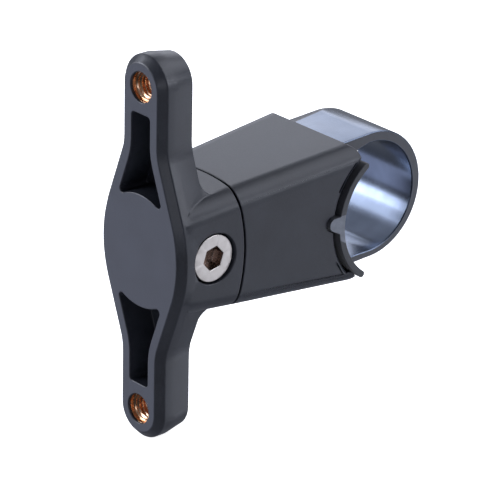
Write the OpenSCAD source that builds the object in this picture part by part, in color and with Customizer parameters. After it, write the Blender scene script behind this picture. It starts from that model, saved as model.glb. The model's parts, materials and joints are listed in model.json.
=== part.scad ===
/* [Cage plate] */
// Distance between the two bottle cage screw holes
hole_spacing = 64; // [62:0.5:66]
// Thickness of the upright plate, front to back
plate_t = 8; // [7.5:0.1:9]
// Width of the two upright bars
bar_w = 12; // [11.5:0.1:12.6]
// Width of the plate at its middle
barrel_w = 23.7; // [23:0.1:25]
// Radius of the bulged sides at the middle of the plate
barrel_r = 24; // [22:0.5:26]
// Slope of the flanks between bulge and bars, in degrees
flank_angle = 20.5; // [18:0.5:22]
// Radius that blends the flanks into the bars
blend_r = 9.5; // [8:0.5:14]
// Chamfer round the front face
face_chamfer = 1.4; // [0.8:0.1:1.8]
// Depth at which the sides start to taper towards the back
draft_start = 3.5; // [2.5:0.1:5]
// How much narrower the back face is on each side
draft_inset = 0.85; // [0.3:0.05:1]
// Radius of the fillets between plate and arm
root_fillet = 3; // [1.5:0.1:3.5]

/* [Pockets] */
// Width of the rim between a pocket and the edge of the plate
pocket_rim = 3.45; // [3:0.05:4]
// Depth of the pockets
pocket_depth = 6.4; // [5:0.1:6.8]
// Radius of the round land between the two pockets
land_r = 11.15; // [10.5:0.05:12]
// Distance from a screw hole to the end of its pocket
pocket_gap = 5.2; // [4.5:0.1:6]
// Corner radius of the pockets
pocket_corner = 0.7; // [0.3:0.1:1.2]

/* [Arm] */
// Distance from the front face to the axis of the clamped tube
reach = 50.3; // [50:0.5:56]
// Height of the tube axis above the middle of the arm
axis_rise = 0.15; // [0:0.05:0.4]
// Width of the arm at the front face
neck_w = 22; // [21:0.1:23]
// Height of the arm at the front face
neck_h = 21; // [20:0.1:22.5]
// Side of the square section where the two halves of the arm meet
seam_side = 23.7; // [23:0.1:25]
// Radius of the long edges of the arm
edge_r = 3.9; // [3:0.1:4.5]

/* [Swivel] */
// Distance from the front face to the top of the domed seam
dome_top = 17.5; // [17:0.1:19]
// Radius of the domed seam
dome_r = 33.6; // [30:0.1:40]
// Gap along the seam
seam_gap = 0.3; // [0.2:0.05:0.5]
// Outer diameter of the hollow swivel pin
pin_d = 11.4; // [11:0.1:11.8]
// Radial clearance between swivel pin and socket
pin_clear = 0.05; // [0.02:0.01:0.1]
// Thickness of the plate in front of the swivel pin
socket_skin = 3.3; // [2.5:0.1:4]
// Hexagon flange of the swivel pin, across flats
flange_af = 15; // [14:0.1:16]
// Thickness of that flange
flange_t = 3; // [2.5:0.1:4]
// Depth of the locking groove in the swivel pin
groove_depth = 0.6; // [0.4:0.05:0.65]

/* [Screws] */
// Diameter of the screw threads
thread_d = 5; // [4.8:0.1:5]
// Radial clearance between a screw and what it is threaded into
thread_clear = 0.05; // [0.02:0.01:0.08]
// Head diameter of the locking screw
lock_head_d = 9.1; // [8.5:0.1:9.4]
// Head height of the locking screw
lock_head_h = 2.4; // [2.2:0.1:2.6]
// How far the locking screw lies below the side of the arm
lock_sunk = 0.3; // [0.1:0.05:0.4]
// Radial gap between that head and its counterbore
lock_gap = 0.4; // [0.2:0.05:0.6]
// Distance from the front face to the axis of the locking screw
lock_y = 8.3; // [7.8:0.1:8.8]
// Hexagon sockets of both screws, across flats
hex_af = 4.15; // [3.8:0.05:4.2]
// Depth of those sockets
hex_depth = 2.5; // [2:0.1:2.6]
// Head diameter of the tension screw
tension_head_d = 8.5; // [8:0.1:8.6]
// Head height of the tension screw
tension_head_h = 5; // [4:0.1:5.5]
// Thickness of the washer under that head
washer_t = 1; // [0.8:0.1:1.2]
// Outer diameter of the cage screw inserts
insert_d = 6.6; // [6.2:0.1:7]
// Thread bore of the cage screw inserts
insert_bore = 4.2; // [4:0.1:4.4]

/* [Clamp] */
// Diameter of the clamped tube
tube_d = 22.2; // [22:0.1:24]
// Thickness of the strap
strap_t = 1.7; // [1.5:0.1:2]
// How much thicker the loop of the strap is on top than at its legs
strap_crown = 0.35; // [0:0.05:0.5]
// Width of the strap
strap_w = 15.4; // [14:0.1:16]
// Height left over the strap at each lip of the body
lip_t = 1.16; // [1:0.02:1.4]
// Width of each cheek of the body beside the strap
cheek_w = 5.75; // [5.4:0.05:6.5]
// Distance from the end of the body to the tube axis
lip_back = 7.5; // [7:0.1:8.5]
// Radius of the outer corners at the end of the body
lip_round = 1.8; // [1:0.1:2]
// How far the strap can be let out
travel_out = 2.4; // [2:0.1:2.6]
// How far the strap can be drawn in
travel_in = 0.8; // [0.4:0.1:1]
// Diameter of the pins that hold the strap ends
hook_pin_d = 3; // [2.6:0.1:3.2]

/* [Saddle pad] */
// Thickness of the rubber pad
pad_t = 1.35; // [1.1:0.05:1.6]
// How far the pad stands out from the sides of the body
pad_proud = 0.25; // [0:0.05:0.4]
// Inner radius of the pad
pad_r = 12.8; // [12.8:0.1:13.4]
// Radial gap between the ears of the pad and the recess beside them
pad_gap = 0.6; // [0.5:0.05:0.9]
// Height of the rib that keys the pad into the body
key_h = 2.7; // [2.4:0.1:3.2]
// How far the key reaches into the body beyond the pad
key_depth = 2.5; // [2.2:0.1:3]
// Thickness of the body between that key and the cavity of the yoke
saddle_wall = 1.5; // [1.2:0.1:2]

/* [Hidden] */
$fn = 96;

// Saddle pad, whose centre lies behind and below the tube axis
pad_dy = 1.1;
pad_dz = -1.25;
key_dz = -0.1;
key_flare = 29;
pad_seat = 0.1;
pad_top_angle = 55;
pad_low_angle = 53;
pad_mid_angle = 40;
key_y = pad_r + pad_t + key_depth - pad_dy;

hole_z = hole_spacing / 2;
bar_r = bar_w / 2;
// Centre and upper end of the bulge's arc, and where the flank line meets the bar
arc_cx = barrel_w / 2 - barrel_r;
arc_z = barrel_r * sin(flank_angle);
arc_x = arc_cx + barrel_r * cos(flank_angle);
foot_z = arc_z + (arc_x - bar_r) / tan(flank_angle);
tube_r = tube_d / 2;
strap_out_r = tube_r + strap_t;

// The body at its rear end, and its half sizes along the arm
body_end = reach - lip_back;
seam_y = dome_top - pow(seam_side / 2, 2) / (2 * dome_r);
clamp_w = strap_w + 2 * cheek_w;
clamp_h = tube_d + 2 * strap_t + 2 * lip_t;
function half_h(y) = seam_side / 2 + (clamp_h - seam_side) / 2 * (y - seam_y) / (body_end - seam_y);
function half_w(y) = seam_side / 2 + (clamp_w - seam_side) / 2 * (y - seam_y) / (body_end - seam_y);
function neck_half(y, front) = front / 2 + (seam_side - front) / 2 * y / seam_y;

// Locking screw, its insert and the swivel pin
pin_r = pin_d / 2;
pin_front = socket_skin + 0.3;
socket_r = pin_r + pin_clear;
lock_face = neck_half(lock_y, neck_w);
lock_head_x = lock_face - lock_sunk - lock_head_h;
lock_floor_x = lock_head_x - 0.3;
lock_insert_x = socket_r + 0.05;
lock_insert_d = 7;
thread_r = thread_d / 2;
thread_bore_r = thread_r + thread_clear;
pin_bore_r = tension_head_d / 2 + 0.1;
dog_r = thread_r - 0.7;
groove_half = dog_r + 0.1;
flange_y = dome_top - 0.3;
shoulder_y = flange_y + 0.2;

// Tension screw, yoke and hooks
head_y = shoulder_y - washer_t - tension_head_h;
cavity_back = reach - key_y - pad_seat - saddle_wall;
yoke_t = 5;
yoke_y = cavity_back - 0.3 - travel_out - yoke_t / 2;
cavity_front = yoke_y - yoke_t / 2 - travel_in - 1.2;
wall = 1;
eye_wall = 1;
eye_r = hook_pin_d / 2 + eye_wall;
eye_z = half_h(yoke_y) - wall - 0.4 - eye_r;
fork_w = 2.8;
yoke_w = strap_w + 1.4;
eye_w = yoke_w - 2 * fork_w - 0.4;
nut_t = 3.5;
nut_af = 8;
screw_end = yoke_y + yoke_t / 2 + travel_out - 0.6;

// Strap legs, which bend inwards where they enter the body
bend_y = body_end - 0.3;

// Recess beside the ears of the pad, down to the height where the lower lip begins
recess_r = pad_r + pad_t + pad_gap;
recess_depth = 2.9;
recess_low = -11.1;

// Extrudes a profile drawn in X and Z along Y
module along_y(y0, y1) translate([0, y1, 0]) rotate([90, 0, 0]) linear_extrude(y1 - y0) children();
// Extrudes a profile drawn in Y and Z along X
module along_x(x0, x1) translate([x0, 0, 0]) rotate([90, 0, 90]) linear_extrude(x1 - x0) children();
// Turns a profile of radius and depth about Y
module turned_y() rotate([-90, 0, 0]) rotate_extrude() children();
// Cylinder along Y from y0 to y1
module rod_y(r, y0, y1) translate([0, y0, 0]) rotate([-90, 0, 0]) cylinder(r = r, h = y1 - y0);
// Cylinder along X from x0 to x1
module rod_x(r, x0, x1) translate([x0, 0, 0]) rotate([0, 90, 0]) cylinder(r = r, h = x1 - x0);
// Hexagon prism along Y, with flats above and below
module hex_y(af, y0, y1) translate([0, y0, 0]) rotate([-90, 0, 0]) cylinder(r = af / sqrt(3), h = y1 - y0, $fn = 6);
// From the arm's own frame, at the front face, to the frame of the part, at the tube axis
module arm() translate([0, -reach, -axis_rise]) children();

// Rectangle with round corners, about the middle of the arm
module section(hw, hh) {
    for (sx = [-1, 1], sz = [-1, 1]) translate([sx * (hw - edge_r), sz * (hh - edge_r)]) circle(r = edge_r, $fn = 48);
    square([2 * hw, 2 * (hh - edge_r)], center = true);
    square([2 * (hw - edge_r), 2 * hh], center = true);
}

// Outline of the cage plate: two bars, straight flanks and a bulged middle
module plate_outline() {
    offset(r = -blend_r) offset(r = blend_r) {
        for (s = [-1, 1]) translate([0, s * hole_z]) circle(r = bar_r);
        square([bar_w, hole_spacing], center = true);
        intersection() {
            translate([arc_cx, 0]) circle(r = barrel_r, $fn = 240);
            translate([-arc_cx, 0]) circle(r = barrel_r, $fn = 240);
            square([2 * barrel_w, 2 * arc_z], center = true);
        }
        polygon([[arc_x, -arc_z], [bar_r, -foot_z], [-bar_r, -foot_z], [-arc_x, -arc_z],
                 [-arc_x, arc_z], [-bar_r, foot_z], [bar_r, foot_z], [arc_x, arc_z]]);
    }
}

// Side of the plate, as places across the edge against depth; s is -1 where the material lies outside r
function rim(r, s) = [[r - s * face_chamfer, 0], [r, face_chamfer], [r, draft_start], [r - s * draft_inset, plate_t]];

// Round piece of the plate
module rim_disc(r) turned_y() polygon(concat([[0, 0]], rim(r, 1), [[0, plate_t]]));

// Piece of the plate with one straight side at x = r, from z0 to z1
module rim_bar(r, z0, z1) translate([0, 0, z0]) linear_extrude(z1 - z0)
    polygon(concat([[r - barrel_w, 0]], rim(r, 1), [[r - barrel_w, plate_t]]));

// Mirrored copies on all four quarters, or on the two sides
module four() for (sx = [0, 1], sz = [0, 1]) mirror([sx, 0, 0]) mirror([0, 0, sz]) children();

// Plate with its front chamfer and the taper of its sides
module plate_blank() {
    reach_x = barrel_w;
    bow_z = (reach_x - arc_cx) * tan(flank_angle);
    // Upright bars with round ends
    for (s = [-1, 1]) translate([0, 0, s * hole_z]) rim_disc(bar_r);
    intersection() {
        rim_bar(bar_r, -hole_z, hole_z);
        mirror([1, 0, 0]) rim_bar(bar_r, -hole_z, hole_z);
    }
    // Bulged middle, between the radial planes at both ends of its arcs
    intersection() {
        translate([arc_cx, 0, 0]) rim_disc(barrel_r);
        translate([-arc_cx, 0, 0]) rim_disc(barrel_r);
        along_y(-1, plate_t + 1) polygon([[0, -arc_cx * tan(flank_angle)], [-reach_x, bow_z], [-reach_x, -bow_z],
            [0, arc_cx * tan(flank_angle)], [reach_x, -bow_z], [reach_x, bow_z]]);
    }
    // Flanks above and below it
    for (m = [0, 1]) mirror([0, 0, m]) intersection() {
        flank_side();
        mirror([1, 0, 0]) flank_side();
        along_y(-1, plate_t + 1) polygon([[0, -arc_cx * tan(flank_angle)], [reach_x, bow_z], [reach_x, foot_z + 2],
            [-reach_x, foot_z + 2], [-reach_x, bow_z]]);
    }
    // Hollow blends between flanks and bars
    four() blend_corner();
}

// All that lies inside one flank line
module flank_side() translate([arc_x, 0, arc_z]) rotate([0, -flank_angle, 0]) rim_bar(0, -barrel_w, barrel_w);

// Corner between a flank and a bar, hollowed by the blend
module blend_corner() {
    run = blend_r * tan(flank_angle / 2);
    flank_x = bar_r + run * sin(flank_angle);
    difference() {
        along_y(0, plate_t) polygon([[0, foot_z - run * cos(flank_angle) - flank_x * tan(flank_angle)],
            [flank_x, foot_z - run * cos(flank_angle)], [bar_r, foot_z + run], [0, foot_z + run]]);
        translate([bar_r + blend_r, 0, foot_z + run]) turned_y() polygon(concat([[0, -1], [blend_r + face_chamfer, -1]],
            rim(blend_r, -1), [[blend_r + draft_inset, plate_t + 1], [0, plate_t + 1]]));
    }
}

// One pocket of the plate, above (s = 1) or below (s = -1) the land
module pocket(s) {
    along_y(-1, pocket_depth) offset(r = pocket_corner) offset(r = -pocket_corner) difference() {
        intersection() {
            offset(delta = -pocket_rim) plate_outline();
            translate([-barrel_w, s > 0 ? 0 : -(hole_z - pocket_gap)]) square([2 * barrel_w, hole_z - pocket_gap]);
        }
        circle(r = land_r);
    }
}

// Front half of the arm, between the plate and the domed seam, growing out of the sides of the plate
module neck() {
    ends = [[face_chamfer, 0.5], [draft_start, 0], [dome_top + 2, 0]];
    intersection() {
        hull() for (e = ends) along_y(e[0], e[0] + 0.01)
            section(neck_half(e[0], neck_w) - e[1], neck_half(e[0], neck_h) - e[1]);
        translate([0, dome_top - dome_r, 0]) sphere(r = dome_r - seam_gap / 2, $fn = 180);
    }
}

// Fillet between the back of the plate and the top or bottom of the neck
module root_web(s) {
    top = neck_half(plate_t, neck_h);
    intersection() {
        along_y(0, plate_t + root_fillet + 1) offset(delta = -draft_inset) plate_outline();
        along_x(-barrel_w, barrel_w) difference() {
            translate([plate_t - 1, s > 0 ? top - 1 : -top - root_fillet]) square([root_fillet + 1, root_fillet + 1]);
            translate([plate_t + root_fillet, s * (top + root_fillet)]) circle(r = root_fillet);
        }
    }
}

// Insert outline, radius against depth: a flush mouth and a wider grooved barrel
module insert_profile(grow) {
    lip = 0.6;
    polygon([[0, 0], [insert_d / 2 - 0.4 + grow, 0], [insert_d / 2 - 0.4 + grow, lip], [insert_d / 2 + grow, lip],
             [insert_d / 2 + grow, plate_t - 1], [0, plate_t - 1]]);
}

module cage_bracket() color([0.12, 0.12, 0.13]) arm() {
    difference() {
        union() {
            plate_blank();
            neck();
            root_web(1);
            root_web(-1);
        }
        pocket(1);
        pocket(-1);
        for (s = [-1, 1]) translate([0, 0, s * hole_z]) {
            turned_y() insert_profile(0);
            rod_y(insert_bore / 2 + 0.3, plate_t - 2, plate_t + 1);
        }
        rod_y(socket_r, socket_skin, dome_top + 1);
        translate([0, lock_y, 0]) {
            rod_x(lock_head_d / 2 + lock_gap, lock_floor_x, lock_face + 3);
            rod_x(lock_insert_d / 2, 0, lock_floor_x);
        }
    }
}

module cage_insert(s) color([0.78, 0.5, 0.28]) arm() translate([0, 0, s * hole_z]) difference() {
    turned_y() insert_profile(0);
    rod_y(insert_bore / 2, -1, plate_t);
    turned_y() polygon([[0, -0.5], [insert_d / 2 - 0.15, -0.5], [insert_bore / 2 - 0.1, 0.7], [0, 0.7]]);
}
module upper_insert() cage_insert(1);
module lower_insert() cage_insert(-1);

module lock_insert() color([0.72, 0.58, 0.34]) arm() translate([0, lock_y, 0]) difference() {
    rod_x(lock_insert_d / 2, lock_insert_x, lock_floor_x);
    rod_x(thread_bore_r, 0, lock_face);
}

// Locking screw with a hexagon socket and a dog point that runs in the groove
module lock_screw() color([0.75, 0.74, 0.72]) arm() translate([0, lock_y, 0]) {
    dog_end = pin_r - groove_depth + 0.1;
    difference() {
        union() {
            rod_x(lock_head_d / 2, lock_head_x, lock_head_x + lock_head_h);
            rod_x(thread_r, pin_r + 0.3, lock_head_x);
            rod_x(dog_r, dog_end, pin_r + 0.3);
        }
        translate([lock_head_x + lock_head_h - hex_depth, 0, 0]) rotate([-18, 0, 0]) rotate([0, 90, 0])
            cylinder(r = hex_af / sqrt(3), h = lock_head_h + 1, $fn = 6);
    }
}

// Hollow pin on which the bracket swivels, with a locking groove and a hexagon flange
module swivel_pin() color([0.62, 0.63, 0.65]) arm() difference() {
    union() {
        rod_y(pin_r, pin_front, flange_y);
        hex_y(flange_af, flange_y, flange_y + flange_t);
    }
    rod_y(pin_bore_r, 0, shoulder_y);
    rod_y(thread_r + 0.25, 0, flange_y + flange_t + 1);
    turned_y() translate([pin_r - groove_depth, lock_y - groove_half]) square([2, 2 * groove_half]);
}

// Side view of the body, with rounded corners at its rear end
module body_side() {
    r = lip_round;
    difference() {
        translate([0, -clamp_h]) square([body_end, 2 * clamp_h]);
        for (s = [-1, 1]) difference() {
            translate([body_end - r, s > 0 ? clamp_h / 2 - r : -clamp_h / 2 - 1]) square([r + 1, r + 1]);
            translate([body_end - r, s * (clamp_h / 2 - r)]) circle(r = r);
        }
    }
}

// Outer shape of the body, flared towards the tube
module body_blank() {
    y0 = seam_y - 3;
    difference() {
        intersection() {
            hull() {
                along_y(y0, y0 + 0.01) section(half_w(y0), half_h(y0));
                along_y(body_end - 0.01, body_end) section(half_w(body_end), half_h(body_end));
            }
            along_x(-clamp_w, clamp_w) body_side();
        }
        translate([0, dome_top - dome_r, 0]) sphere(r = dome_r + seam_gap / 2, $fn = 180);
    }
}

// Space for the yoke, and the two channels through which the strap leaves the body
module body_cavity() {
    hw = yoke_w / 2 + 0.3;
    h0 = half_h(cavity_front) - wall;
    h1 = half_h(cavity_back) - wall;
    chan_w = strap_w / 2 + 0.25;
    mouth = tube_r + strap_t + axis_rise + 0.12;
    mouth_low = tube_r + strap_t - axis_rise + 0.12;
    along_x(-hw, hw) polygon([[cavity_front, -h0], [cavity_back, -h1], [cavity_back, h1], [cavity_front, h0]]);
    along_x(-chan_w, chan_w) {
        channel(h1, mouth);
        mirror([0, 1]) channel(h1, mouth_low);
    }
}

// Upper channel of the strap, from the height h of the cavity to the height m of its mouth
module channel(h, m) polygon([[cavity_back - 1, h - 4], [bend_y, m - strap_t - 2.2], [body_end + 1, m - strap_t - 2.2],
                              [body_end + 1, m], [bend_y - 1.2, m], [cavity_back - 1, h]]);

// Ring-shaped cutter that rounds the edge between a cheek and the recess of the saddle by r
module cheek_ring(r) {
    x = half_w(reach - recess_r) + 0.1;
    translate([x - r, pad_dy, pad_dz]) rotate([0, 90, 0]) rotate_extrude() difference() {
        translate([recess_r - 1, 0]) square([r + 1, r + 2]);
        translate([recess_r + r, 0]) circle(r = r, $fn = 48);
    }
}

// Recess in the cheek on the side s, with a round edge
module cheek_recess(s) mirror([s < 0 ? 1 : 0, 0, 0]) intersection() {
    union() {
        translate([clamp_w / 2 - recess_depth, pad_dy, pad_dz]) rod_x(recess_r, 0, clamp_w);
        cheek_ring(1);
    }
    translate([0, -clamp_w, recess_low]) cube([2 * clamp_w, 2 * clamp_w, 2 * clamp_w]);
}

module clamp_body() color([0.13, 0.13, 0.14]) difference() {
    arm() difference() {
        body_blank();
        hex_y(flange_af + 0.2, 0, flange_y + flange_t);
        rod_y(thread_r + 0.5, 0, cavity_front + 1);
        body_cavity();
    }
    translate([0, pad_dy, pad_dz]) rod_x(pad_r + pad_t + pad_seat, -clamp_w, clamp_w);
    for (s = [-1, 1]) cheek_recess(s);
    key_slot(pad_seat, clamp_w);
}

// Round-ended slot that widens downwards, or the key that fits it, along X from -hw to hw
module key_slot(grow, hw) {
    r = key_h / 2 + grow;
    flat = r - 0.02;
    low = [-flat * sin(key_flare), -flat * cos(key_flare)];
    len = pad_t + key_depth;
    translate([0, -key_y + key_h / 2, key_dz]) along_x(-hw, hw) {
        circle(r = r);
        polygon([[0, flat], low, low + len * [cos(key_flare), -sin(key_flare)], [len, flat]]);
    }
}

module tension_screw() color([0.7, 0.7, 0.72]) arm() difference() {
    union() {
        rod_y(tension_head_d / 2, head_y, head_y + tension_head_h);
        rod_y(thread_r, head_y + tension_head_h, screw_end);
    }
    hex_y(hex_af, head_y - 1, head_y + hex_depth);
}

module tension_washer() color([0.66, 0.67, 0.69]) arm() difference() {
    rod_y(tension_head_d / 2, shoulder_y - washer_t, shoulder_y);
    rod_y(thread_r + 0.2, 0, reach);
}

// Crossbar that draws both ends of the strap
module yoke() color([0.3, 0.3, 0.32]) arm() translate([0, yoke_y, 0]) difference() {
    union() {
        translate([-yoke_w / 2, -yoke_t / 2, -(eye_z - eye_r - 0.4)]) cube([yoke_w, yoke_t, 2 * (eye_z - eye_r - 0.4)]);
        for (sx = [-1, 1], sz = [-1, 1]) {
            x0 = sx > 0 ? yoke_w / 2 - fork_w : -yoke_w / 2;
            translate([0, 0, sz * eye_z]) rod_x(eye_r, x0, x0 + fork_w);
            translate([x0, -eye_r, sz > 0 ? 0 : -eye_z]) cube([fork_w, 2 * eye_r, eye_z]);
        }
    }
    for (s = [-1, 1]) translate([0, 0, s * eye_z]) rod_x(hook_pin_d / 2 + 0.02, -yoke_w, yoke_w);
    rod_y(thread_r + 0.3, -yoke_t, yoke_t);
    hex_y(nut_af + 0.1, yoke_t / 2 - nut_t, yoke_t);
}

module yoke_nut() color([0.68, 0.69, 0.71]) arm() translate([0, yoke_y, 0]) difference() {
    hex_y(nut_af, yoke_t / 2 - nut_t, yoke_t / 2);
    rod_y(thread_bore_r, -yoke_t, yoke_t);
}

// Side view of the strap: half a ring, two legs and an eye at the end of each leg
module strap_side() {
    difference() {
        intersection() {
            translate([strap_crown / 2, strap_crown]) circle(r = strap_out_r, $fn = 180);
            translate([-0.2, -2 * tube_r]) square([2 * tube_r, 4 * tube_r]);
        }
        circle(r = tube_r, $fn = 180);
    }
    strap_leg(eye_z - axis_rise, strap_out_r + strap_crown, 0.8);
    mirror([0, 1]) strap_leg(eye_z + axis_rise, strap_out_r - strap_crown, 0);
}

// Upper leg of the strap, thicker by root at its bend, from height loop_z at the loop to its eye around end_z
module strap_leg(end_z, loop_z, root) {
    top = end_z + eye_r;
    translate([yoke_y - reach, end_z]) circle(r = eye_r, $fn = 48);
    polygon([[-3, tube_r], [0, tube_r], [0, loop_z], [bend_y - reach, strap_out_r],
             [yoke_y - reach, top], [yoke_y - reach, top - strap_t], [bend_y - reach, tube_r - root]]);
}

module strap() color([0.2, 0.22, 0.25]) difference() {
    along_x(-strap_w / 2, strap_w / 2) strap_side();
    for (s = [-1, 1]) {
        translate([0, yoke_y - reach, s * eye_z - axis_rise]) rod_x(hook_pin_d / 2 + 0.02, -strap_w, strap_w);
        translate([s > 0 ? eye_w / 2 : -strap_w / 2 - 1, yoke_y - reach - eye_r - 1, -clamp_h])
            cube([(strap_w - eye_w) / 2 + 1, 2 * eye_r + 2, 2 * clamp_h]);
    }
}

module hook_pin(s) color([0.72, 0.72, 0.74]) arm() translate([0, yoke_y, s * eye_z])
    rod_x(hook_pin_d / 2, -yoke_w / 2, yoke_w / 2);
module upper_hook_pin() hook_pin(1);
module lower_hook_pin() hook_pin(-1);

// Sector of the side view that opens towards the front, between the angles up and down from level
module sector(r, up, down) polygon([[0, 0], [-r * cos(up), r * sin(up)], [-r, r / 2], [-r, -r / 2],
                                    [-r * cos(down), -r * sin(down)]]);

// Rubber pad with a key along its back, and four ears beside the strap
module saddle_pad() color([0.16, 0.17, 0.18]) {
    pad_w = clamp_w + 2 * pad_proud;
    end_r = pad_t / 2;
    mid_w = strap_w / 2 + 0.5;
    translate([0, pad_dy, pad_dz]) {
        along_x(-pad_w / 2, pad_w / 2) pad_arc(pad_mid_angle, pad_mid_angle);
        for (s = [-1, 1]) along_x(s > 0 ? mid_w : -pad_w / 2, s > 0 ? pad_w / 2 : -mid_w) {
            pad_arc(pad_top_angle, pad_low_angle);
            rotate(-pad_top_angle) translate([-(pad_r + end_r), 0]) circle(r = end_r, $fn = 32);
            rotate(pad_low_angle) translate([-(pad_r + end_r), 0]) circle(r = end_r, $fn = 32);
        }
    }
    difference() {
        key_slot(0, pad_w / 2);
        translate([0, pad_dy, pad_dz]) rod_x(pad_r + pad_t / 2, -clamp_w, clamp_w);
    }
}
module pad_arc(up, down) intersection() {
    difference() {
        circle(r = pad_r + pad_t, $fn = 180);
        circle(r = pad_r, $fn = 180);
    }
    sector(2 * pad_r, up, down);
}

cage_bracket();
upper_insert();
lower_insert();
lock_insert();
lock_screw();
swivel_pin();
clamp_body();
tension_screw();
tension_washer();
yoke();
yoke_nut();
strap();
upper_hook_pin();
lower_hook_pin();
saddle_pad();
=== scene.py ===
"""Bottle cage mount: looks for the cage plate, its arm and the tube clamp, in metres."""
import json
import math

import bpy
from mathutils import Matrix, Vector


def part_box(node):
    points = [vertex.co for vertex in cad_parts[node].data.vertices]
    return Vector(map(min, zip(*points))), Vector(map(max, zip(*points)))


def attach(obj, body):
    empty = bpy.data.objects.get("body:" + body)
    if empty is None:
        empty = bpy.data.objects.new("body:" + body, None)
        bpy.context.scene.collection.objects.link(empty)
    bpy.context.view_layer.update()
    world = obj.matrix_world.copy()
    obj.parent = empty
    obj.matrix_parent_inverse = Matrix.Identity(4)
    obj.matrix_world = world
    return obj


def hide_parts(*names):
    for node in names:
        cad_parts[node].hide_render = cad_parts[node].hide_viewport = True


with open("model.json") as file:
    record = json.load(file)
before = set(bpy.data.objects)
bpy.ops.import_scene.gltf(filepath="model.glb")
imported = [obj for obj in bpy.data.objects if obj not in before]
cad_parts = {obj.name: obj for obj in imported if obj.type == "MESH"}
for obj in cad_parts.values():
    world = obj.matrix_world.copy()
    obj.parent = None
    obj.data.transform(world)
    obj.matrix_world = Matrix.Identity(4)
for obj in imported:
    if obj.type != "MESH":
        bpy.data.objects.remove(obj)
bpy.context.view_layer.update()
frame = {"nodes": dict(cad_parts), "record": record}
MM = 0.001
scene = bpy.context.scene


# Camera, at the photograph's viewing angle

AZIMUTH, ELEVATION, ROLL = math.radians(48.47), math.radians(23.15), math.radians(1.096)
FOCAL_PX, IMAGE_PX, SENSOR_MM = 3873.1, 480, 36
DISTANCE = 721.05 * MM
ARM_MIDDLE = Vector((0, -30.3, -0.15)) * MM
AIM_RIGHT, AIM_UP = 3.341 * MM, -2.917 * MM     # the picture's centre, from the arm's middle


def make_camera():
    """A long lens that looks down at the arm from its front right corner."""
    level = math.cos(ELEVATION)
    back = Vector((math.sin(AZIMUTH) * level, -math.cos(AZIMUTH) * level, math.sin(ELEVATION)))
    right = Vector((math.cos(AZIMUTH), math.sin(AZIMUTH), 0))
    up = back.cross(right).normalized()
    right, up = right * math.cos(ROLL) + up * math.sin(ROLL), up * math.cos(ROLL) - right * math.sin(ROLL)
    lens = bpy.data.cameras.new("photo_camera")
    lens.sensor_width = SENSOR_MM
    lens.lens = FOCAL_PX * SENSOR_MM / IMAGE_PX
    lens.clip_start, lens.clip_end = 0.01, 20
    camera = bpy.data.objects.new("photo_camera", lens)
    scene.collection.objects.link(camera)
    turn = Matrix((right, up, back)).transposed().to_4x4()
    turn.translation = ARM_MIDDLE + right * AIM_RIGHT + up * AIM_UP + back * DISTANCE
    camera.matrix_world = turn
    scene.camera = camera


make_camera()


# Small helpers

def linear(code):
    """The linear colour, with alpha, of an sRGB hex value."""
    parts = [int(code[i:i + 2], 16) / 255 for i in (1, 3, 5)]
    return tuple(p / 12.92 if p <= 0.04045 else ((p + 0.055) / 1.055) ** 2.4 for p in parts) + (1.0,)


def add(tree, kind, sockets, stops=(), **settings):
    """Adds one node with its settings. A socket gets a value or a link, and a colour ramp its two
    stops, each a place and an sRGB hex value."""
    node = tree.nodes.new(kind)
    for name, value in settings.items():
        setattr(node, name, value)
    for name, value in sockets.items():
        if isinstance(value, bpy.types.NodeSocket):
            tree.links.new(value, node.inputs[name])
        else:
            node.inputs[name].default_value = value
    for i, (at, colour) in enumerate(stops):
        stop = node.color_ramp.elements[i]
        stop.position, stop.color = at, linear(colour)
    return node


def new_material(name):
    """An empty material and its node tree."""
    material = bpy.data.materials.new(name)
    material.use_nodes = True
    material.node_tree.nodes.clear()
    return material, material.node_tree


# Finishes

def moulded_nylon():
    # Glass-filled nylon from a spark-eroded mould: charcoal with a cool tint and a fine even grain of about
    # 0.1 mm that spreads every highlight into a satin band. The grain is drawn at 0.3 mm, so that it shows.
    material, tree = new_material("moulded_nylon")
    spot = add(tree, "ShaderNodeTexCoord", {}).outputs["Object"]
    cloud = add(tree, "ShaderNodeTexNoise", {
        "Vector": spot, "Scale": 120.0, "Detail": 3.0, "Roughness": 0.55})
    grain = add(tree, "ShaderNodeTexNoise", {
        "Vector": spot, "Scale": 3300.0, "Detail": 2.0, "Roughness": 0.6})
    mixed = add(tree, "ShaderNodeMath", {0: cloud.outputs["Fac"], 1: grain.outputs["Fac"]}, operation="ADD")
    halved = add(tree, "ShaderNodeMath", {0: mixed.outputs[0], 1: 0.5}, operation="MULTIPLY")
    colour = add(tree, "ShaderNodeValToRGB", {"Fac": halved.outputs[0]},
                 stops=[(0.35, "#1b1d24"), (0.65, "#24272f")])
    rough = add(tree, "ShaderNodeMapRange", {
        "Value": grain.outputs["Fac"], "From Min": 0.3, "From Max": 0.7, "To Min": 0.34, "To Max": 0.42})
    bump = add(tree, "ShaderNodeBump", {
        "Height": grain.outputs["Fac"], "Strength": 0.3, "Distance": 0.03 * MM})
    shader = add(tree, "ShaderNodeBsdfPrincipled", {
        "Base Color": colour.outputs["Color"], "Roughness": rough.outputs["Result"], "IOR": 1.53,
        "Normal": bump.outputs["Normal"]})
    add(tree, "ShaderNodeOutputMaterial", {"Surface": shader.outputs[0]})
    return material


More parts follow.
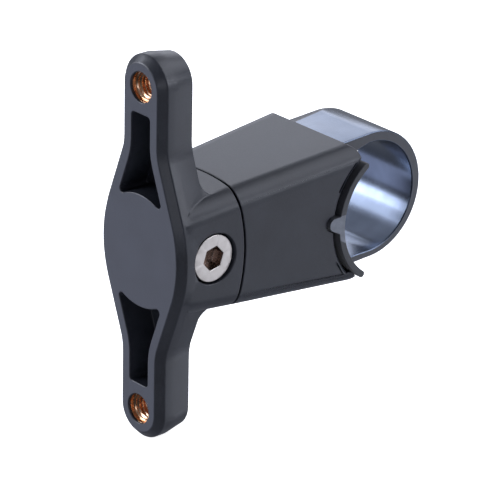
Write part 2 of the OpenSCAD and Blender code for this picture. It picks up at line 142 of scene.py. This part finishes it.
def satin_blued_steel():
    # Rolled steel with a satin blue-grey finish: its broad highlights run as clean bands across the strap,
    # with very faint streaks along it, 0.17 mm apart, and a slight cloud in the colour.
    material, tree = new_material("satin_blued_steel")
    spot = add(tree, "ShaderNodeTexCoord", {}).outputs["Object"]
    along = add(tree, "ShaderNodeMapping", {"Vector": spot, "Scale": (6000.0, 120.0, 120.0)})
    streak = add(tree, "ShaderNodeTexNoise", {
        "Vector": along.outputs["Vector"], "Scale": 1.0, "Detail": 2.0})
    cloud = add(tree, "ShaderNodeTexNoise", {"Vector": spot, "Scale": 160.0, "Detail": 2.0})
    colour = add(tree, "ShaderNodeValToRGB", {"Fac": cloud.outputs["Fac"]},
                 stops=[(0.3, "#5b6371"), (0.7, "#687180")])
    rough = add(tree, "ShaderNodeMapRange", {
        "Value": streak.outputs["Fac"], "From Min": 0.3, "From Max": 0.7, "To Min": 0.2, "To Max": 0.235})
    bump = add(tree, "ShaderNodeBump", {
        "Height": streak.outputs["Fac"], "Strength": 0.012, "Distance": 0.01 * MM})
    shader = add(tree, "ShaderNodeBsdfPrincipled", {
        "Base Color": colour.outputs["Color"], "Metallic": 1.0, "Roughness": rough.outputs["Result"],
        "Normal": bump.outputs["Normal"]})
    add(tree, "ShaderNodeOutputMaterial", {"Surface": shader.outputs[0]})
    return material


def strap_coat_and_shade():
    # Dark coat on the narrow sides of the strap: satin grey and slightly uneven, so that they stay dull
    # beside the bright bands of the steel. The same dark coat is also painted as shade on a strip of the
    # outer face along the far edge.
    material, tree = new_material("strap_coat_and_shade")
    spot = add(tree, "ShaderNodeTexCoord", {}).outputs["Object"]
    cloud = add(tree, "ShaderNodeTexNoise", {"Vector": spot, "Scale": 1500.0, "Detail": 3.0})
    colour = add(tree, "ShaderNodeValToRGB", {"Fac": cloud.outputs["Fac"]},
                 stops=[(0.3, "#282a31"), (0.7, "#30333b")])
    rough = add(tree, "ShaderNodeMapRange", {
        "Value": cloud.outputs["Fac"], "From Min": 0.3, "From Max": 0.7, "To Min": 0.38, "To Max": 0.46})
    bump = add(tree, "ShaderNodeBump", {
        "Height": cloud.outputs["Fac"], "Strength": 0.15, "Distance": 0.02 * MM})
    shader = add(tree, "ShaderNodeBsdfPrincipled", {
        "Base Color": colour.outputs["Color"], "Roughness": rough.outputs["Result"], "IOR": 1.6,
        "Normal": bump.outputs["Normal"]})
    add(tree, "ShaderNodeOutputMaterial", {"Surface": shader.outputs[0]})
    return material


def saddle_rubber(name, dark, pale):
    # Moulded elastomer of the saddle pad: cool dark grey, with a slight sheen at grazing light and small
    # dull spots about 1 mm across. A paler copy on the cut ends of its key is painted light, standing in
    # for the light that those faces catch.
    material, tree = new_material(name)
    spot = add(tree, "ShaderNodeTexCoord", {}).outputs["Object"]
    spots = add(tree, "ShaderNodeTexNoise", {
        "Vector": spot, "Scale": 900.0, "Detail": 3.0, "Roughness": 0.6})
    colour = add(tree, "ShaderNodeValToRGB", {"Fac": spots.outputs["Fac"]},
                 stops=[(0.3, dark), (0.7, pale)])
    rough = add(tree, "ShaderNodeMapRange", {
        "Value": spots.outputs["Fac"], "From Min": 0.3, "From Max": 0.7, "To Min": 0.45, "To Max": 0.58})
    bump = add(tree, "ShaderNodeBump", {
        "Height": spots.outputs["Fac"], "Strength": 0.25, "Distance": 0.03 * MM})
    shader = add(tree, "ShaderNodeBsdfPrincipled", {
        "Base Color": colour.outputs["Color"], "Roughness": rough.outputs["Result"], "IOR": 1.52,
        "Sheen Weight": 0.1, "Sheen Roughness": 0.5, "Normal": bump.outputs["Normal"]})
    add(tree, "ShaderNodeOutputMaterial", {"Surface": shader.outputs[0]})
    return material


def turned_metal(name, dark, pale, roughness, ring_axis, ring_centre, spacing):
    # Turned metal: faint tool rings about the axis of the piece, spacing millimetres apart, that give
    # the flat faces a soft fan of light. A little tarnish in spots of 1.4 mm varies its colour and gloss.
    material, tree = new_material(name)
    spot = add(tree, "ShaderNodeTexCoord", {}).outputs["Object"]
    centred = add(tree, "ShaderNodeVectorMath", {0: spot, 1: ring_centre}, operation="SUBTRACT")
    flat = tuple(0.0 if i == ring_axis else 1.0 for i in range(3))
    across = add(tree, "ShaderNodeVectorMath", {0: centred.outputs[0], 1: flat}, operation="MULTIPLY")
    radius = add(tree, "ShaderNodeVectorMath", {0: across.outputs[0]}, operation="LENGTH")
    per_metre = 2 * math.pi / (spacing * MM)
    turns = add(tree, "ShaderNodeMath", {0: radius.outputs["Value"], 1: per_metre}, operation="MULTIPLY")
    rings = add(tree, "ShaderNodeMath", {0: turns.outputs[0]}, operation="SINE")
    tarnish = add(tree, "ShaderNodeTexNoise", {
        "Vector": spot, "Scale": 700.0, "Detail": 3.0, "Roughness": 0.6})
    colour = add(tree, "ShaderNodeValToRGB", {"Fac": tarnish.outputs["Fac"]},
                 stops=[(0.3, dark), (0.7, pale)])
    rough = add(tree, "ShaderNodeMapRange", {
        "Value": tarnish.outputs["Fac"], "From Min": 0.3, "From Max": 0.7,
        "To Min": roughness - 0.04, "To Max": roughness + 0.06})
    bump = add(tree, "ShaderNodeBump", {
        "Height": rings.outputs[0], "Strength": 0.08, "Distance": 0.005 * MM})
    shader = add(tree, "ShaderNodeBsdfPrincipled", {
        "Base Color": colour.outputs["Color"], "Metallic": 1.0, "Roughness": rough.outputs["Result"],
        "Normal": bump.outputs["Normal"]})
    add(tree, "ShaderNodeOutputMaterial", {"Surface": shader.outputs[0]})
    return material


# Pieces

AXIS = Vector((0, -50.3, -0.15)) * MM           # where the arm's axis meets the front face of the plate
HOLE_Z = 32 * MM                                # the cage screws' height above and below that axis
LOCK_AXIS = AXIS + Vector((0, 8.3, 0)) * MM     # the locking screw, which points along x


def deselect():
    """Leaves edit mode and empties the selection."""
    if bpy.context.object and bpy.context.object.mode != "OBJECT":
        bpy.ops.object.mode_set(mode="OBJECT")
    bpy.ops.object.select_all(action="DESELECT")


def pick(piece):
    """Makes piece the only selected object and the active one."""
    deselect()
    piece.select_set(True)
    bpy.context.view_layer.objects.active = piece


def edit_points(piece, test):
    """Opens piece in edit mode with just the points selected whose place passes test."""
    pick(piece)
    bpy.ops.object.mode_set(mode="EDIT")
    bpy.ops.mesh.select_mode(type="VERT")
    bpy.ops.mesh.select_all(action="DESELECT")
    bpy.ops.object.mode_set(mode="OBJECT")
    for point in piece.data.vertices:
        point.select = test(point.co)
    bpy.ops.object.mode_set(mode="EDIT")


def merged_copy(node, name, within=0.002):
    """A copy of a CAD node in which all points that lie within so many millimetres are merged."""
    piece = bpy.data.objects.new(name, frame["nodes"][node].data.copy())
    scene.collection.objects.link(piece)
    pick(piece)
    bpy.ops.object.mode_set(mode="EDIT")
    bpy.ops.mesh.select_all(action="SELECT")
    bpy.ops.mesh.remove_doubles(threshold=within * MM)
    bpy.ops.mesh.customdata_custom_splitnormals_clear()
    bpy.ops.object.mode_set(mode="OBJECT")
    return piece


def round_edges(piece, width, flat=0.0, sides=3, sharp=32.0, crease=38.0):
    """Rounds the edges of piece that are sharper than so many degrees by width millimetres. Faces within
    flat degrees are joined first, and edges past crease degrees stay crisp in the shading."""
    pick(piece)
    if flat:
        bpy.ops.object.mode_set(mode="EDIT")
        bpy.ops.mesh.select_all(action="SELECT")
        bpy.ops.mesh.dissolve_limited(angle_limit=math.radians(flat))
        bpy.ops.object.mode_set(mode="OBJECT")
    bevel = piece.modifiers.new("edge_round", "BEVEL")
    bevel.limit_method, bevel.angle_limit = "ANGLE", math.radians(sharp)
    bevel.width, bevel.segments = width * MM, sides
    bevel.use_clamp_overlap = False
    bevel.miter_outer = "MITER_ARC"
    bpy.ops.object.modifier_apply(modifier="edge_round")
    bpy.ops.object.shade_smooth_by_angle(angle=math.radians(crease))
    evened = piece.modifiers.new("even_shade", "WEIGHTED_NORMAL")
    evened.keep_sharp = True
    bpy.ops.object.modifier_apply(modifier="even_shade")


def thicken_upper_root(strap):
    """Thickens the strap's upper leg towards its bend: the inner point of the bend goes down, and the
    inner point where the leg leaves the loop goes back to just in front of the tube's top."""
    bend_y, leave_y, near = -7.8 * MM, -3 * MM, 0.1 * MM
    edit_points(strap, lambda co: abs(co.y - bend_y) < near and 10 * MM < co.z < 10.6 * MM)
    bpy.ops.transform.translate(value=(0, 0, -1.1 * MM))
    edit_points(strap, lambda co: abs(co.y - leave_y) < near and 11 * MM < co.z < 11.2 * MM)
    bpy.ops.transform.translate(value=(0, 2.6 * MM, 0))
    bpy.ops.object.mode_set(mode="OBJECT")


def wound_thread(hole, crest, root, pitch, front, turns):
    """A right-hand thread ridge about the axis of a screw hole, from the crest radius out to the root
    radius. Its outline starts as a square edge loop that is narrowed to the flats of crest and root."""
    depth, middle = root - crest, (crest + root) / 2
    crest_flat, root_flat = 0.14 * pitch, 0.92 * pitch
    bpy.ops.mesh.primitive_plane_add(size=depth, location=hole + Vector((0, front, 0)))
    ridge = bpy.context.object
    edit_points(ridge, lambda co: True)
    bpy.ops.mesh.delete(type="ONLY_FACE")
    bpy.ops.mesh.select_all(action="SELECT")
    bpy.ops.transform.translate(value=(middle, 0, 0))
    for flat, on_side in ((root_flat, lambda co: co.x > middle), (crest_flat, lambda co: co.x < middle)):
        edit_points(ridge, on_side)
        bpy.ops.transform.resize(value=(1, flat / depth, 1))
    bpy.ops.object.mode_set(mode="OBJECT")
    winding = ridge.modifiers.new("winding", "SCREW")
    winding.axis, winding.angle, winding.iterations = "Y", 2 * math.pi, turns
    winding.steps = winding.render_steps = 40
    winding.screw_offset = pitch
    bpy.ops.object.modifier_apply(modifier="winding")
    bpy.ops.object.mode_set(mode="EDIT")
    bpy.ops.mesh.select_all(action="SELECT")
    bpy.ops.mesh.fill_holes(sides=4)
    bpy.ops.mesh.normals_make_consistent(inside=False)
    bpy.ops.object.mode_set(mode="OBJECT")
    bpy.ops.object.transform_apply(location=True, rotation=True, scale=True)
    return ridge


def threaded_insert(node, name, hole):
    """Brass insert of a cage screw: the CAD outline with a sunk mouth, a bore almost as wide as the
    thread's root, and the thread, whose ridge overlaps the wall of the bore."""
    bore, mouth, sunk, pitch = 2.1 * MM, 2.8 * MM, 1.2 * MM, 0.8 * MM
    face_depth, lead_in_depth, bore_growth = 0.3 * MM, 0.7 * MM, 1.17
    thread_root, thread_front, turns = 1.24 * bore, sunk + 0.45 * MM, 6

    def radius(co):
        return Vector((co.x - hole.x, 0, co.z - hole.z)).length

    def at_mouth(co):
        depth = co.y - hole.y
        return depth < face_depth or depth < lead_in_depth and radius(co) < mouth

    insert = merged_copy(node, name)
    edit_points(insert, lambda co: radius(co) < 1.03 * bore)
    bpy.ops.transform.resize(value=(bore_growth, 1, bore_growth))
    edit_points(insert, at_mouth)
    bpy.ops.transform.translate(value=(0, sunk, 0))
    round_edges(insert, 0.05, sides=2)
    ridge = wound_thread(hole, bore, thread_root, pitch, thread_front, turns)
    bpy.ops.object.shade_smooth_by_angle(angle=math.radians(30))
    pick(insert)
    ridge.select_set(True)
    bpy.ops.object.join()
    return insert


def finished(piece, node, material):
    """Puts piece in the place of its node, on that node's body and a material."""
    piece.data.materials.clear()
    piece.data.materials.append(material)
    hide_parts(node)
    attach(piece, body_of[node])


nylon = moulded_nylon()
rubber = saddle_rubber("saddle_rubber", "#202227", "#2b2d33")
# A paler copy of the rubber for the key's cut ends: painted light
key_lit_rubber = saddle_rubber("painted_light_key_rubber", "#4a4f59", "#5a606b")
# Stainless steel of the locking screw: a pale warm head with a soft even gloss
stainless = turned_metal("stainless_steel", "#cdc7c1", "#dcd7d2", 0.34, 0, LOCK_AXIS, 0.25)
# The same steel inside its socket in a darker brown: painted shade of the deep hex hollow
socket_shade = turned_metal("painted_socket_shade_steel", "#8f7f77", "#aa9990", 0.24, 0, LOCK_AXIS, 0.3)
# Brass of the inserts, fresh from the lathe: bright gold on each flank of the thread
brass = turned_metal("turned_brass", "#e6b084", "#f5cfae", 0.26, 1, AXIS, 0.2)
# Zinc plate on the hidden pins, screws and nut: cool light grey
zinc = turned_metal("zinc_plated_steel", "#a4a7ab", "#bfc2c5", 0.32, 1, AXIS, 0.22)
# Black oxide on the hidden yoke: near black and almost matt
yoke_steel = turned_metal("black_oxide_steel", "#2b2c2f", "#3a3b3f", 0.42, 1, AXIS, 0.3)
body_of = {n: b for b, names in frame["record"]["behaviour"]["bodies"].items() for n in names}

# CAD nodes whose edges are rounded on a copy: node, piece, mm within which points merge, mm that edges are
# rounded by, degrees within which faces are joined, material
for node, name, within, width, flat, material in [
        ("cage_bracket", "bracket", 0.02, 0.22, 1.0, nylon),
        ("clamp_body", "body", 0.004, 0.22, 0.3, nylon),
        ("strap", "strap_ring", 0.05, 0.24, 0.3, satin_blued_steel()),
        ("saddle_pad", "pad", 0.004, 0.16, 0.3, rubber),
        ("lock_screw", "lock_screw_steel", 0.002, 0.14, 0.0, stainless)]:
    piece = merged_copy(node, name, within)
    if node == "strap":
        thicken_upper_root(piece)
    round_edges(piece, width, flat)
    finished(piece, node, material)

for node, name, hole in [("upper_insert", "upper_thread", AXIS + Vector((0, 0, HOLE_Z))),
                         ("lower_insert", "lower_thread", AXIS - Vector((0, 0, HOLE_Z)))]:
    finished(threaded_insert(node, name, hole), node, brass)

# The strap's side faces keep their coating. Along the far edge only, a strip of its outer face, narrower
# round the loop, gets the same dark coat as painted shade
ring = bpy.data.objects["strap_ring"]
ring.data.materials.append(strap_coat_and_shade())
shade_strip_end, shade_strip_line = Vector((-7.05, 4, 0)) * MM, Vector((1, 0.1, 0))
edit_points(ring, lambda co: True)
bpy.ops.mesh.bisect(plane_co=shade_strip_end, plane_no=shade_strip_line)
bpy.ops.object.mode_set(mode="OBJECT")
for face in ring.data.polygons:
    # outwards is away from the tube's axis on the loop, and straight up or down on the legs
    outwards = Vector((0, max(face.center.y, 0), face.center.z)).normalized()
    in_shade_strip = (face.center - shade_strip_end).dot(shade_strip_line) < 0 and face.normal.dot(outwards) > 0.3
    if abs(face.normal.x) > 0.97 or in_shade_strip:
        face.material_index = 1

# The socket of the locking screw gets the darker brown steel as painted shade: its walls, and its floor
# well below the head's face
SOCKET_R, BEHIND_SOCKET_X, BELOW_FACE_X = 2.35 * MM, 7.2 * MM, 10.2 * MM
screw = bpy.data.objects["lock_screw_steel"]
screw.data.materials.append(socket_shade)
for face in screw.data.polygons:
    in_socket = (face.center - LOCK_AXIS).yz.length < SOCKET_R and face.center.x > BEHIND_SOCKET_X
    if in_socket and (abs(face.normal.x) < 0.3 or face.center.x < BELOW_FACE_X):
        face.material_index = 1

# The key's ends lie between a level plane and one that slopes down towards the tube
pad = bpy.data.objects["pad"]
key_top, key_foot = Vector((0, -15.5, 1.3)) * MM, Vector((0, -15.5, -2.2)) * MM
foot_slope = math.radians(29)
level, sloped = Vector((0, 0, 1)), Vector((0, math.sin(foot_slope), math.cos(foot_slope)))
pick(pad)
bpy.ops.object.mode_set(mode="EDIT")
for point, normal in ((key_top, level), (key_foot, sloped)):
    bpy.ops.mesh.select_all(action="SELECT")
    bpy.ops.mesh.bisect(plane_co=point, plane_no=normal)
bpy.ops.object.mode_set(mode="OBJECT")
# The key's cut ends get the paler copy of the rubber: painted light for the light they catch
pad.data.materials.append(key_lit_rubber)
for face in pad.data.polygons:
    between = (face.center - key_top).dot(level) < 0 < (face.center - key_foot).dot(sloped)
    if abs(face.normal.x) > 0.9 and between:
        face.material_index = 1

# CAD nodes that are hidden, or almost so, and keep their own mesh
KEPT = {
    "lock_insert": brass, "swivel_pin": zinc, "tension_screw": zinc, "tension_washer": zinc,
    "yoke_nut": zinc, "yoke": yoke_steel, "upper_hook_pin": zinc, "lower_hook_pin": zinc,
}
for node, material in KEPT.items():
    for entry in frame["nodes"][node].material_slots:
        entry.material = material


# Floor and studio light

LAMP_DISTANCE = 0.7


def soft_light(name, direction, width, height, brightness, colour="#eef2ff"):
    """A rectangular softbox that faces the arm, seen from it along direction, with its size in metres."""
    lamp = bpy.data.lights.new(name, "AREA")
    lamp.shape, lamp.size, lamp.size_y = "RECTANGLE", width, height
    lamp.energy, lamp.color = brightness * math.pi * width * height, linear(colour)[:3]
    box = bpy.data.objects.new(name, lamp)
    scene.collection.objects.link(box)
    away = Vector(direction).normalized()
    box.location = ARM_MIDDLE + away * LAMP_DISTANCE
    box.rotation_mode = "QUATERNION"
    box.rotation_quaternion = away.to_track_quat("Z", "Y")


def pale_floor():
    # White backdrop paper: matt, with a very fine fibre cloud.
    material, tree = new_material("pale_paper")
    spot = add(tree, "ShaderNodeTexCoord", {}).outputs["Object"]
    fibres = add(tree, "ShaderNodeTexNoise", {"Vector": spot, "Scale": 400.0, "Detail": 3.0})
    colour = add(tree, "ShaderNodeValToRGB", {"Fac": fibres.outputs["Fac"]},
                 stops=[(0.3, "#f4f4f5"), (0.7, "#fafafa")])
    shader = add(tree, "ShaderNodeBsdfPrincipled", {
        "Base Color": colour.outputs["Color"], "Roughness": 0.9,
        "Emission Color": linear("#ffffff"), "Emission Strength": 0.9})
    add(tree, "ShaderNodeOutputMaterial", {"Surface": shader.outputs[0]})
    bpy.ops.mesh.primitive_plane_add(size=6, location=(0, 0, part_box("cage_bracket")[0].z))
    floor = bpy.context.object
    floor.name = "floor"
    floor.data.materials.append(material)
    floor.visible_glossy = floor.visible_shadow = False


def studio_air():
    # Dim fill from all round, darkest low in front on the right, where the room is unlit.
    world = bpy.data.worlds.new("studio")
    world.use_nodes = True
    tree = world.node_tree
    tree.nodes.clear()
    way = add(tree, "ShaderNodeTexCoord", {}).outputs["Generated"]
    facing = add(tree, "ShaderNodeVectorMath", {0: way, 1: (0.61, -0.69, -0.39)}, operation="DOT_PRODUCT")
    fill = add(tree, "ShaderNodeMapRange", {
        "Value": facing.outputs["Value"], "From Min": 0.0, "From Max": 0.9, "To Min": 0.28, "To Max": 0.03})
    air = add(tree, "ShaderNodeBackground", {
        "Color": linear("#eef2ff"), "Strength": fill.outputs["Result"]})
    add(tree, "ShaderNodeOutputWorld", {"Surface": air.outputs[0]})
    scene.world = world


deselect()
pale_floor()
studio_air()
# name, direction from the arm, width, height, brightness and, where it differs, colour
for light in [
        ("left_strip", (-0.67, -0.70, 0.26), 0.4, 0.18, 9.5),
        ("left_halo", (-0.69, -0.53, 0.49), 0.5, 0.24, 5.0),
        ("left_low", (-0.69, -0.60, -0.34), 0.6, 0.4, 1.3, "#dbe2ff"),
        ("left_top", (-0.69, -0.05, 0.72), 0.5, 0.5, 0.55),
        ("back_left", (-0.68, 0.62, 0.40), 0.6, 0.27, 2.1),
        ("back_left_low", (-0.68, 0.71, 0.17), 0.5, 0.1, 0.9),
        ("top_back", (0.33, 0.61, 0.72), 0.8, 0.45, 2.4),
        ("right_strip", (0.76, 0.6, 0.26), 0.4, 0.14, 6.0),
        ("right_low", (0.69, 0.61, -0.36), 0.6, 0.45, 0.66),
        ("right_back_low", (0.36, 0.85, -0.38), 0.25, 0.4, 0.9),
        ("front_right", (0.6, -0.78, 0.17), 0.2, 0.2, 2.6)]:
    soft_light(*light)
scene.view_settings.view_transform = "Standard"
